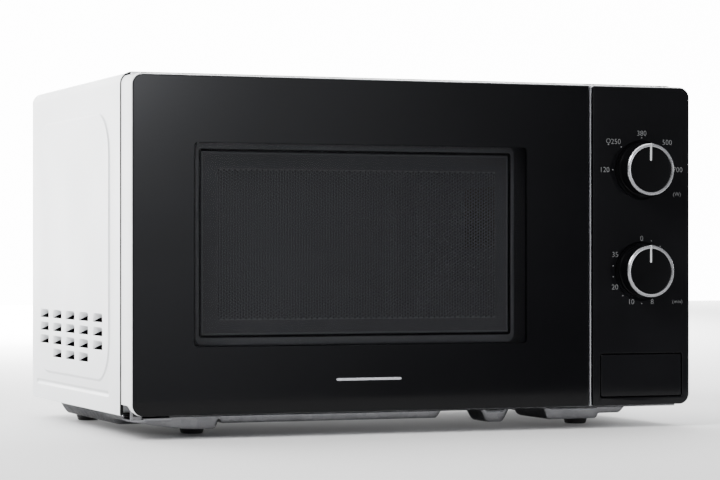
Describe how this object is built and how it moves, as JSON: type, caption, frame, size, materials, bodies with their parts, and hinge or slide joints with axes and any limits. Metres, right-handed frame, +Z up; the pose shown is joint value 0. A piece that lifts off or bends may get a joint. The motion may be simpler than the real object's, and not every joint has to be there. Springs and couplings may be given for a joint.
{
  "type": "microwave oven",
  "caption": "Compact countertop microwave oven with a white case, a black glass door hinged on the left, two dials and a push button that opens the door.",
  "frame": {"origin": "centre of the bottom of the overall box, on the surface that the feet stand on", "axes": "+X to the right seen from the front, +Y from the front to the back, +Z up; the door faces -Y"},
  "size_m": [0.44, 0.33, 0.259],
  "materials": {
    "white_paint": "satin powder coat",
    "white_plastic": "fine grain",
    "black_glass": "black printed glass with a clear window",
    "black_gloss": "polished",
    "black_plastic": "satin",
    "black_screen": "black perforated sheet",
    "silver": "spun bright ring",
    "steel": "plain",
    "zinc": "galvanised sheet",
    "enamel": "baked grey enamel",
    "grey_plastic": "satin",
    "rubber": "matte",
    "clear_glass": "clear pressed glass",
    "clear_film": "clear film",
    "copper": "enamelled windings and core",
    "mica": "pressed mica board",
    "board": "circuit board"
  },
  "bodies": {
    "cabinet": {"cabinet_cover": "white_paint", "front_plate": "white_paint", "latch_plate": "white_paint", "cavity_wrapper": "enamel", "cavity_floor": "enamel", "cavity_back": "enamel", "rear_panel": "zinc", "base_plate": "zinc", "foot_front_left": "rubber", "foot_front_right": "rubber", "foot_rear_left": "rubber", "foot_rear_right": "rubber", "cover_screw_left": "steel", "cover_screw_right": "steel", "cord_gland": "black_plastic", "lower_hinge": "black_plastic", "upper_hinge": "white_paint", "control_panel": "white_plastic", "control_fascia": "black_gloss", "power_selector": "grey_plastic", "timer_unit": "grey_plastic", "button_spring": "steel", "lever_bracket": "grey_plastic", "latch_block": "white_plastic", "primary_switch": "black_plastic", "secondary_switches": "black_plastic", "magnetron": "steel", "waveguide": "zinc", "waveguide_cover": "mica", "transformer": "copper", "capacitor": "silver", "fan_duct": "grey_plastic", "fan_motor": "steel", "oven_lamp": "clear_glass", "filter_board": "board", "turntable_motor": "steel"},
    "door": {"door_frame": "white_plastic", "door_glass": "black_glass", "door_edge_trim": "silver", "door_screen": "black_screen", "door_choke": "white_paint", "choke_cover": "grey_plastic", "inner_film": "clear_film", "hook_spring": "steel"},
    "hook": {"door_hook": "white_plastic"},
    "power_dial": {"power_knob": "black_plastic", "power_knob_ring": "silver", "power_shaft": "steel"},
    "timer_dial": {"timer_knob": "black_plastic", "timer_knob_ring": "silver", "timer_shaft": "steel"},
    "button": {"release_button": "black_gloss"},
    "lever": {"release_lever": "white_plastic"},
    "fan": {"fan_blade": "grey_plastic"},
    "coupler": {"turntable_coupler": "grey_plastic"},
    "ring": {"roller_ring": "grey_plastic"},
    "roller_a": {"roller_1": "white_plastic"},
    "roller_b": {"roller_2": "white_plastic"},
    "roller_c": {"roller_3": "white_plastic"},
    "tray": {"glass_tray": "clear_glass"}
  },
  "joints": [
    {"name": "door_hinge", "type": "hinge", "parent": "cabinet", "child": "door", "pos_m": [-0.2115, -0.1368, 0.1372], "axis": [0, 0, -1], "range_deg": [0, 100]},
    {"name": "hook_slide", "type": "slide", "parent": "door", "child": "hook", "axis": [0, 0, 1], "range_m": [0, 0.004], "stiffness_N_per_m": 400, "springref_m": -0.006, "deforming": ["hook_spring"]},
    {"name": "power_knob_turn", "type": "hinge", "parent": "cabinet", "child": "power_dial", "pos_m": [0.1779, -0.1543, 0.1934], "axis": [0, 1, 0], "range_deg": [-90, 90]},
    {"name": "timer_knob_turn", "type": "hinge", "parent": "cabinet", "child": "timer_dial", "pos_m": [0.1779, -0.1543, 0.1175], "axis": [0, 1, 0], "range_deg": [0, 300]},
    {"name": "button_press", "type": "slide", "parent": "cabinet", "child": "button", "axis": [0, 1, 0], "range_m": [0, 0.005], "stiffness_N_per_m": 800, "springref_m": -0.005, "deforming": ["button_spring"]},
    {"name": "release_lever_tip", "type": "hinge", "parent": "cabinet", "child": "lever", "pos_m": [0.1565, -0.1093, 0.0572], "axis": [1, 0, 0], "range_deg": [0, 17.3]},
    {"name": "fan_spin", "type": "hinge", "parent": "cabinet", "child": "fan", "pos_m": [0.1645, 0.0957, 0.1772], "axis": [0, 1, 0], "continuous": true},
    {"name": "turntable_spin", "type": "hinge", "parent": "cabinet", "child": "coupler", "pos_m": [-0.0425, 0.0202, 0.0372], "axis": [0, 0, 1], "continuous": true},
    {"name": "tray_lift", "type": "slide", "parent": "coupler", "child": "tray", "axis": [0, 0, 1], "range_m": [0, 0.06]},
    {"name": "roller_ring_spin", "type": "hinge", "parent": "cabinet", "child": "ring", "pos_m": [-0.0425, 0.0202, 0.0394], "axis": [0, 0, 1], "continuous": true},
    {"name": "roller_1_spin", "type": "hinge", "parent": "ring", "child": "roller_a", "pos_m": [0.045, 0.0202, 0.0394], "axis": [1, 0, 0], "continuous": true},
    {"name": "roller_2_spin", "type": "hinge", "parent": "ring", "child": "roller_b", "pos_m": [-0.08625, 0.09598, 0.0394], "axis": [-0.5, 0.866, 0], "continuous": true},
    {"name": "roller_3_spin", "type": "hinge", "parent": "ring", "child": "roller_c", "pos_m": [-0.08625, -0.05558, 0.0394], "axis": [-0.5, -0.866, 0], "continuous": true}
  ],
  "couplings": [
    {"joint": "release_lever_tip", "follows": "button_press", "rad_per_m": 60},
    {"joint": "roller_ring_spin", "follows": "turntable_spin", "ratio": 0.5},
    {"joint": "roller_1_spin", "follows": "turntable_spin", "ratio": -5.4688},
    {"joint": "roller_2_spin", "follows": "turntable_spin", "ratio": -5.4688},
    {"joint": "roller_3_spin", "follows": "turntable_spin", "ratio": -5.4688}
  ]
}
